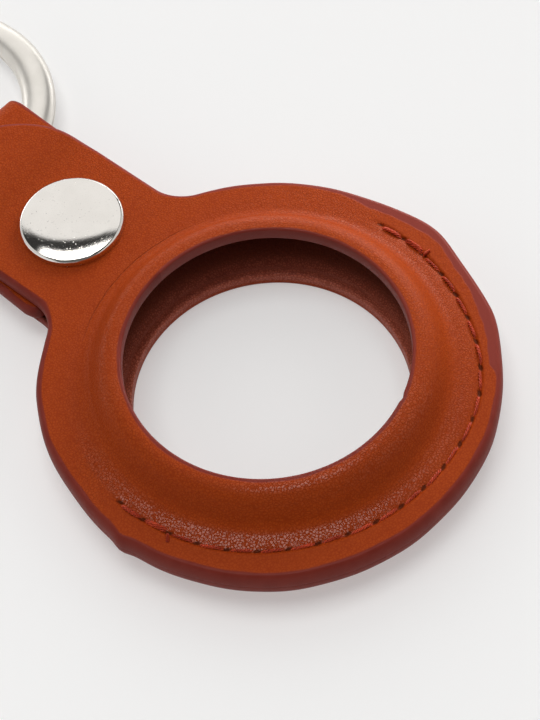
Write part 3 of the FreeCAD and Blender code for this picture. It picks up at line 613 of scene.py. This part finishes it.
def strap_strip():
    """The strap from just behind the step to its cut end, as a tube: station along, point around.

    Stations are close together in the bends. The section is a rectangle whose grain side edges are
    quarter ellipses and whose back edges are smaller ones. At the end the corners are drawn in along
    an arc and the faces close in on each other by the same ellipses. It is a hair larger than the panel's
    stub, which ends inside it. It gives points, quads, end caps and the five values of a leather panel.
    """
    parts = []
    for low, high, (_, bend) in zip(np.maximum(leg_starts, strap_from), leg_starts[1:], strap_legs):
        count = int(max(abs(bend) / math.radians(5.0), (high - low) / 0.8)) + 1
        parts.append(np.linspace(low, high, count, endpoint=False))
    turn = quarter_turn(7)[:, 0]
    back_turn = quarter_turn(4)[:, 0]
    grain_inset = tab_rounding * (1.0 - np.sin(turn))
    grain_depth = tab_edge_depth * (1.0 - np.cos(turn))
    back_inset = tab_back_rounding * (1.0 - np.cos(back_turn))
    back_depth = leather_thickness - tab_back_depth * (1.0 - np.sin(back_turn))
    closing = strap_end - grain_inset
    body = np.concatenate(parts)
    body = body[body < closing[0] - 0.05]
    forward = np.concatenate((body, closing))[:, None]
    top_limit = np.concatenate((np.zeros_like(body), grain_depth))[:, None]
    back_limit = np.concatenate((np.zeros_like(body), tab_back_depth * (1.0 - np.cos(turn))))[:, None]

    grain = np.linspace(-1.0, 1.0, 26)[1:-1]
    back = np.linspace(1.0, -1.0, 14)[1:-1]
    inset = np.concatenate((grain_inset, back_inset))
    depth = np.concatenate((grain_depth, back_depth))
    share = np.concatenate((grain, np.ones_like(inset), back, -np.ones_like(inset)))[None, :]
    inset = np.concatenate((tab_rounding + 0.0 * grain, inset, tab_back_rounding + 0.0 * back, inset[::-1]))
    depth = np.concatenate((0.0 * grain, depth, leather_thickness + 0.0 * back, depth[::-1]))
    depth = np.clip(depth[None, :], top_limit, leather_thickness - back_limit)
    in_corner = np.clip(1.0 - (strap_end - forward) / strap_corner, 0.0, 0.999)
    half_width = tab_half_width - strap_corner * (1.0 - np.sqrt(1.0 - in_corner ** 2))
    flat_across = share * (half_width - inset[None, :])
    across = leaned(flat_across * (1.0 + strap_growth / tab_half_width), forward, strap_lean)
    swollen = strap_growth * (1.0 - 2.0 * depth / leather_thickness)
    forward, height, depth = np.broadcast_arrays(forward, grain_level - depth + swollen, depth)
    bent_forward, bent_height = bent_strip(forward, height, rear_start, lining_level, rear_legs)
    points = np.stack([across, bent_forward, -bent_height], axis=-1)

    from_edge = np.minimum(half_width - np.abs(flat_across), strap_end - forward)
    outside = 0.48 + 0.03 * np.sin(0.9 * forward) + 0.02 * np.sin(2.3 * forward + 1.0) - from_edge
    painted = np.where(depth > 0.5 * leather_thickness, np.maximum(0.15 - from_edge, outside - 0.3), outside)
    far_off_seam = np.full_like(depth, 5.0)
    values = np.stack([flat_across, forward, depth, painted, far_off_seam], axis=-1)
    quads, caps = tube_faces(1, *depth.shape)
    return points.reshape(-1, 3), quads, caps, values.reshape(-1, 5)


panel_points, panel_faces, panel_values = leather_panel(
    square_stub_end, columns=300, brim_rows=24,
    start=rear_start, level=lining_level, legs=rear_legs, lean=strap_lean, mirrored=True,
)
strip_points, strip_quads, strip_caps, strip_values = strap_strip()
first = len(panel_points)
rear_points = np.concatenate((panel_points, strip_points))
rear_faces = panel_faces.tolist() + (strip_quads + first).tolist() + (strip_caps + first).tolist()
rear_values = np.concatenate((panel_values, strip_values))
rear_leather = add_leather("rear_leather", leather, rear_points, rear_faces, rear_values)
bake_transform(rear_leather)
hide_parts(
    "rear_panel_outer", "rear_panel_lining", "strap_end_outer", "strap_end_lining",
    "strap_loop_outer", "strap_loop_lining",
)


# Seam: a lockstitch of twisted polyester thread along the rim, from one side of the flap round to the other.
# Each stitch lies sunk in the leather between two needle holes. On the front the last two at each end are
# sewn twice, and a short tail is left beside them.

ply_count = 3
ply_offset = 0.092
ply_radius = 0.074
thread_sink = 0.08
dive_depth = 0.85
stitch_share = 0.97


def sewn_thread(name, material, shifts, mirrored):
    """All stitches of one side as tubes: stitch, ply, station along, point around.

    A stitch goes from hole to hole along the seam circle, level in the middle and diving at both ends
    with the fourth power of the distance from its middle. Its plies wind round its line as helices. A
    row of shifts is the stitch's number, its offset across the seam, its lift, the angle by which it
    swings outwards round its first hole and its share of a full length. Only a tail swings, and its far
    end stays up.
    """
    columns = [np.array(column, dtype=float)[:, None, None, None] for column in zip(*shifts)]
    number, offset, lift, swing, length = columns
    ply = np.arange(ply_count)[None, :, None, None]
    u = np.linspace(-1.0, 1.0, 25)[None, None, :, None]
    around = np.linspace(0.0, 2.0 * math.pi, 9)[:-1][None, None, None, :]
    half = 0.5 * stitch_angle * seam_radius * stitch_share
    uneven = np.sin(number * 2.4 + 0.6)
    held = np.where(swing == 0.0, u, np.minimum(u, 0.0))
    height = grain_level - thread_sink + lift + 0.05 * uneven - dive_depth * held ** 4
    tilt = np.arctan(-4.0 * dive_depth * held ** 3 / half)
    slanted = offset - 0.10 * u + 0.05 * uneven * (1.0 - u ** 2)
    winding = 2.0 * math.pi * (u * 1.35 + ply / ply_count) + number * 1.7
    swell = 1.0 + 0.12 * np.sin(number * 3.1 + u * 4.0)
    sideways = slanted + ply_offset * np.cos(winding) + ply_radius * swell * np.cos(around)
    upwards = ply_offset * np.sin(winding) + ply_radius * swell * np.sin(around)
    along = half * length * (u + 1.0) - upwards * np.sin(tilt)
    height = height + upwards * np.cos(tilt)
    swung = along * np.cos(swing) - sideways * np.sin(swing) - half
    outwards = along * np.sin(swing) + sideways * np.cos(swing)
    angle = seam_middle + (number - 0.5 * (stitch_count - 1)) * stitch_angle + swung / seam_radius
    radius = seam_line(math.pi - angle) + outwards
    x, y, height = np.broadcast_arrays(radius * np.sin(angle), -radius * np.cos(angle), height)
    points = np.stack([x, y, -height if mirrored else height], axis=-1)

    quads, caps = tube_faces(points.shape[0] * points.shape[1], *points.shape[2:4])
    order = -1 if mirrored else 1
    return add_piece(name, points, quads[:, ::order].tolist() + caps[:, ::order].tolist(), material)


thread_dark = (0.22, 0.018, 0.006, 1.0)
thread_light = (0.58, 0.070, 0.024, 1.0)


def spun_thread(name):
    """Waxed polyester: a very fine noise for its fibres and a coarser one where the thread is rubbed."""
    material, start, finish = new_material(name)
    place = start.node("TexCoord", {}, {}, output="Object")
    fibre = start.node("TexNoise", {}, {"Vector": place, "Scale": 9000.0, "Detail": 2.0})
    patch = start.node("TexNoise", {}, {"Vector": place, "Scale": 500.0, "Detail": 2.0})
    shade = fibre * 0.6 + patch * 0.4
    shade.step(0.36, 0.66).blend(thread_dark, thread_light).feed(finish, "Base Color")
    (0.30 + fibre * 0.2).feed(finish, "Roughness")
    relief = {"Strength": 0.5, "Distance": 0.02 * MM, "Height": fibre}
    start.node("Bump", {}, relief).feed(finish, "Normal")
    finish.inputs["Specular IOR Level"].default_value = 0.2
    return material


thread = spun_thread("thread_polyester")
last = stitch_count - 1
single_run = [(number, 0.0, 0.0, 0.0, 1.0) for number in range(stitch_count)]
back_tacks = [
    (0, 0.13, 0.10, 0.0, 1.0),
    (1, -0.14, 0.12, 0.0, 1.0),
    (last - 1, 0.12, 0.12, 0.0, 1.0),
    (last, -0.13, 0.10, 0.0, 1.0),
]
tails = [(2, 0.0, 0.14, math.radians(75.0), 0.36), (last - 1, 0.0, 0.16, math.radians(110.0), 0.27)]
seam_top = sewn_thread("seam_top", thread, single_run + back_tacks + tails, mirrored=False)
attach(seam_top, "pouch")
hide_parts("seam_thread_top")
seam_bottom = sewn_thread("seam_bottom", thread, single_run, mirrored=True)
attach(seam_bottom, "pouch")
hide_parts("seam_thread_bottom")


# Press stud: a drawn brass cap riveted through the tab to a socket with a ring spring, and a stud riveted
# through both runs of the strap. All are nickel plated; the spring is bright steel wire.

nickel_bright = (0.79, 0.76, 0.72, 1.0)
nickel_dull = (0.76, 0.73, 0.69, 1.0)
steel_bright = (0.58, 0.58, 0.58, 1.0)
steel_dull = (0.50, 0.50, 0.51, 1.0)
pit_grey = (0.22, 0.20, 0.18, 1.0)


def plated_metal(name, bright, dull, roughness, pitting):
    """Polished plate: faint clouds in the gloss, and tiny pits that show where the reflection is dark.

    Pits are the middles of Voronoi cells, kept only where a coarser noise is high. The relief is that
    noise and a fine one, less the pits.
    """
    material, start, finish = new_material(name)
    place = start.node("TexCoord", {}, {}, output="Object")
    cloud = start.node("TexNoise", {}, {"Vector": place, "Scale": 420.0, "Detail": 4.0})
    speck = start.node("TexVoronoi", {"feature": "F1"}, {"Vector": place, "Scale": 3600.0})
    rare = start.node("TexNoise", {}, {"Vector": place, "Scale": 1500.0, "Detail": 2.0})
    pit = (1.0 - speck.step(0.10, 0.24)) * rare.step(0.47, 0.60) * pitting
    tone = cloud.step(0.35, 0.65).blend(dull, bright)
    fine = start.node("TexNoise", {}, {"Vector": place, "Scale": 12000.0, "Detail": 2.0})
    (pit * 0.25).blend(tone, pit_grey).feed(finish, "Base Color")
    (roughness + cloud * 0.03 + pit * 0.25).feed(finish, "Roughness")
    surface = rare * 0.35 + fine * 0.45 - pit * 1.8
    relief = {"Strength": 0.3, "Distance": 0.008 * MM, "Height": surface}
    start.node("Bump", {}, relief).feed(finish, "Normal")
    finish.inputs["Metallic"].default_value = 1.0
    return material


nickel = plated_metal("nickel_plate", nickel_bright, nickel_dull, roughness=0.045, pitting=1.0)
spring_steel = plated_metal("spring_steel", steel_bright, steel_dull, roughness=0.18, pitting=0.4)
stud_finish = {
    "snap_cap": nickel,
    "snap_cap_post": nickel,
    "snap_socket": nickel,
    "snap_stud": nickel,
    "snap_post": nickel,
    "snap_spring": spring_steel,
}
for node, plate in stud_finish.items():
    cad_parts[node].data.materials.clear()
    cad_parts[node].data.materials.append(plate)


# Key ring: one hardened wire wound to two coils, each flat where it lies on the other and rounded outside,
# so that the pair looks like one round bar. Tumbled and nickel plated, held loose in the strap's fold.

ring_middle_radius = 13.9
wire_half_width = 1.72
coil_level = 0.53
wire_half_thickness = 0.5
flat_share = 0.14
crossing = math.radians(64.0)
end_gap = math.radians(2.0)
ring_centre = np.array([0.0, 50.17826, -2.459135])
ring_axis = np.array([0.0, 0.0587654565, 0.9982718])
ring_ahead = np.array([0.0, 0.9982718, -0.0587654565])
ring_across = np.array([1.0, 0.0, 0.0])
ring_bright = (0.78, 0.75, 0.70, 1.0)
ring_dull = (0.74, 0.71, 0.66, 1.0)


def coiled_wire(name, material):
    """The wire as a tube of sections: station along the wire, point around it.

    Its middle goes twice round less the crossing and a gap, low in the first turn and high in the second,
    with a smooth step between them over the crossing. A section is two half ellipses of one width, a low
    one on the side of the other coil and a high one outside, which change places over the crossing.
    """
    wire_start = 0.5 * crossing + end_gap
    turn = np.linspace(wire_start, 4.0 * math.pi - wire_start, 480)[:, None]
    climb = np.clip((turn - 2.0 * math.pi) / crossing + 0.5, 0.0, 1.0)
    climb = climb ** 2 * (3.0 - 2.0 * climb)
    around = np.linspace(0.0, 2.0 * math.pi, 33)[:-1][None, :]
    outwards = ring_middle_radius + wire_half_width * np.cos(around)
    low_top = flat_share + (2.0 - 2.0 * flat_share) * climb
    parting = coil_level * (2.0 * climb - 1.0) + wire_half_thickness * (1.0 - low_top)
    half_height = wire_half_thickness * np.where(np.sin(around) > 0.0, low_top, 2.0 - low_top)
    height = parting + half_height * np.sin(around)
    x = (-outwards * np.sin(turn))[..., None] * ring_across
    y = (outwards * np.cos(turn))[..., None] * ring_ahead
    points = ring_centre + x + y + height[..., None] * ring_axis
    quads, caps = tube_faces(1, *height.shape)
    return add_piece(name, points, quads[:, ::-1].tolist() + caps[:, ::-1].tolist(), material)


ring_plate = plated_metal("ring_plate", ring_bright, ring_dull, roughness=0.33, pitting=0.3)
split_ring = coiled_wire("split_ring", ring_plate)
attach(split_ring, "ring")
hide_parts("key_ring")


# Studio: a wide sheet of pale paper under the part. The sky round it is a soft disc of light behind the part,
# a brighter strip below it, a box overhead with a dark gap between, which the polished cap shows, bright side
# walls and a glow on the horizon. A small lamp close behind lights the leather and the thread alone.

floor_level = -4.47
floor_half = 30000.0
paper_white = (0.66, 0.66, 0.66, 1.0)
paper, _, finish = new_material("pale_paper")
finish.inputs["Base Color"].default_value = paper_white
finish.inputs["Emission Color"].default_value = (1.0, 1.0, 1.0, 1.0)
finish.inputs["Emission Strength"].default_value = 0.325
finish.inputs["Roughness"].default_value = 0.95
finish.inputs["Specular IOR Level"].default_value = 0.0
floor_points = np.array([
    [-floor_half, -floor_half, floor_level],
    [floor_half, -floor_half, floor_level],
    [floor_half, floor_half, floor_level],
    [-floor_half, floor_half, floor_level],
])
floor = add_piece("floor", floor_points, [[0, 1, 2, 3]], paper)

view_azimuth = math.radians(-41.9)
upright = Vector((0.0, 0.0, 1.0))
away = Vector((-math.sin(view_azimuth), math.cos(view_azimuth), 0.0))
right = Vector((math.cos(view_azimuth), math.sin(view_azimuth), 0.0))
degrees = 180.0 / math.pi

world = bpy.data.worlds.new("soft_studio")
world.use_nodes = True
bpy.context.scene.world = world
backdrop = world.node_tree.nodes["Background"]
sky = Signal(world.node_tree)
direction = sky.node("TexCoord", {}, {}, output="Generated")


def sky_along(axis):
    """How far the sky's direction goes along an axis: their dot product."""
    return sky.node("VectorMath", {"operation": "DOT_PRODUCT"}, {0: direction, 1: axis}, output="Value")


def sky_from(rise, aside):
    """Degrees from a middle that lies at this rise behind the part, moved aside to the right."""
    turn = math.radians(rise)
    middle = (away * math.cos(turn) + upright * math.sin(turn) + right * aside).normalized()
    return sky.maths("ARCCOSINE", sky_along(middle)) * degrees


above = sky.node("SeparateXYZ", {}, {0: direction}, output="Z")
rise_angle = sky.maths("ARCTAN2", above, sky_along(away)) * degrees
side_angle = sky.maths("ARCSINE", sky_along(right)) * degrees
to_side = abs(side_angle)
key_light = 1.0 - sky_from(44.0, -0.035).step(23.5, 25.8)
box_edge = sky_from(54.0, -0.07).step(20.8, 21.8) * rise_angle.step(60.0, 66.0)
box_width = 1.0 - abs(side_angle + 4.0).step(14.0, 18.0)
soft_box = box_edge * (1.0 - rise_angle.step(98.0, 106.0)) * box_width
back_strip = rise_angle.step(4.0, 9.0) * (1.0 - rise_angle.step(16.0, 22.0))
back_light = back_strip * (1.0 - to_side.step(40.0, 60.0))
side_walls = to_side.step(30.0, 42.0)
room = rise_angle.step(100.0, 125.0)
horizon = 1.0 - abs(above).step(0.03, 0.12)
lights = key_light * 0.98 + back_light * 2.6 + soft_box * 4.8
brightness = lights + side_walls * 0.7 + room * 0.11 + horizon * 0.4 + 0.04
brightness.feed(backdrop, "Strength")
backdrop.inputs["Color"].default_value = (1.0, 0.992, 0.98, 1.0)

panel = bpy.data.lights.new("back_panel", "AREA")
panel.shape = "RECTANGLE"
panel.size = 80.0 * MM
panel.size_y = 45.0 * MM
panel.energy = 0.118
panel_way = (away * 0.75 + right * 0.52 + upright * 0.42).normalized()
panel_distance = 110.0 * MM
panel_target = Vector((10.0, 14.0, 3.0)) * MM
back_panel = bpy.data.objects.new("back_panel", panel)
bpy.context.scene.collection.objects.link(back_panel)
back_panel.location = panel_target + panel_way * panel_distance
back_panel.rotation_euler = panel_way.to_track_quat("Z", "Y").to_euler()
panel_lit = bpy.data.collections.new("panel_lit")
for piece in (front_leather, rear_leather, seam_top, seam_bottom):
    panel_lit.objects.link(piece)
back_panel.light_linking.receiver_collection = panel_lit


# Camera: a short telephoto that looks down over the near rim, rolled and shifted to fit the photograph's
# frame of 540 by 720 pixels.

view_elevation = math.radians(58.29)
view_roll = math.radians(-7.54)
view_distance = 160.0 * MM
target = Vector((0.0, 0.0, grain_level)) * MM
up = away * math.sin(view_elevation) + upright * math.cos(view_elevation)
back_axis = right.cross(up)
rolled_right = right * math.cos(view_roll) + up * math.sin(view_roll)
rolled_up = up * math.cos(view_roll) - right * math.sin(view_roll)
lens = bpy.data.cameras.new("camera")
lens.lens = 89.5
lens.sensor_fit = "VERTICAL"
lens.sensor_height = 36.0
lens.shift_x = 0.00264
lens.shift_y = 0.00764
lens.clip_start = 0.01
camera = bpy.data.objects.new("camera", lens)
bpy.context.scene.collection.objects.link(camera)
eye = target + back_axis * view_distance
axes = Matrix((rolled_right, rolled_up, back_axis)).transposed()
camera.matrix_world = Matrix.Translation(eye) @ axes.to_4x4()
bpy.context.scene.camera = camera
bpy.context.scene.view_settings.view_transform = "Standard"
